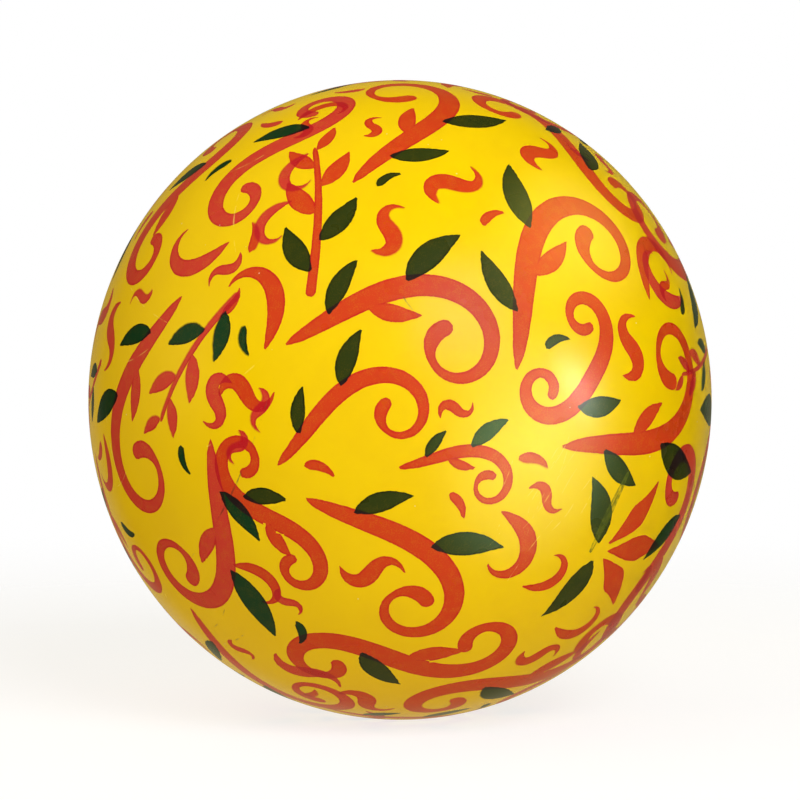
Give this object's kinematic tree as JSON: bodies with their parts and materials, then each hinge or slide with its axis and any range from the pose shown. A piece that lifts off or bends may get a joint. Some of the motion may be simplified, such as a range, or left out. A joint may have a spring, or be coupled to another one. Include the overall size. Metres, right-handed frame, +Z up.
{
  "type": "inflatable play ball",
  "caption": "Inflatable vinyl play ball, slightly taller than wide, with a bonded-in valve seat and a pull-out ribbed plug high on its back.",
  "frame": {"origin": "on the floor, at the middle of the flat that the ball's weight presses into its skin", "axes": "+Z up along the ball's slightly longer diameter, +Y towards the back, where the valve is, +X to the right seen from the front"},
  "size_m": [0.228, 0.228, 0.2331],
  "materials": {
    "printed_vinyl": "satin gloss soft vinyl, sprayed with a red and dark green all-over pattern",
    "seat_vinyl": "unprinted firm vinyl",
    "plug_plastic": "off-white moulded plastic"
  },
  "bodies": {
    "ball": {"ball_skin": "printed_vinyl", "valve_seat": "seat_vinyl"},
    "plug": {"valve_plug": "plug_plastic"}
  },
  "joints": [
    {"name": "plug_pull", "type": "slide", "parent": "ball", "child": "plug", "axis": [0, 0.788, 0.6157], "range_m": [0, 0.026]}
  ]
}
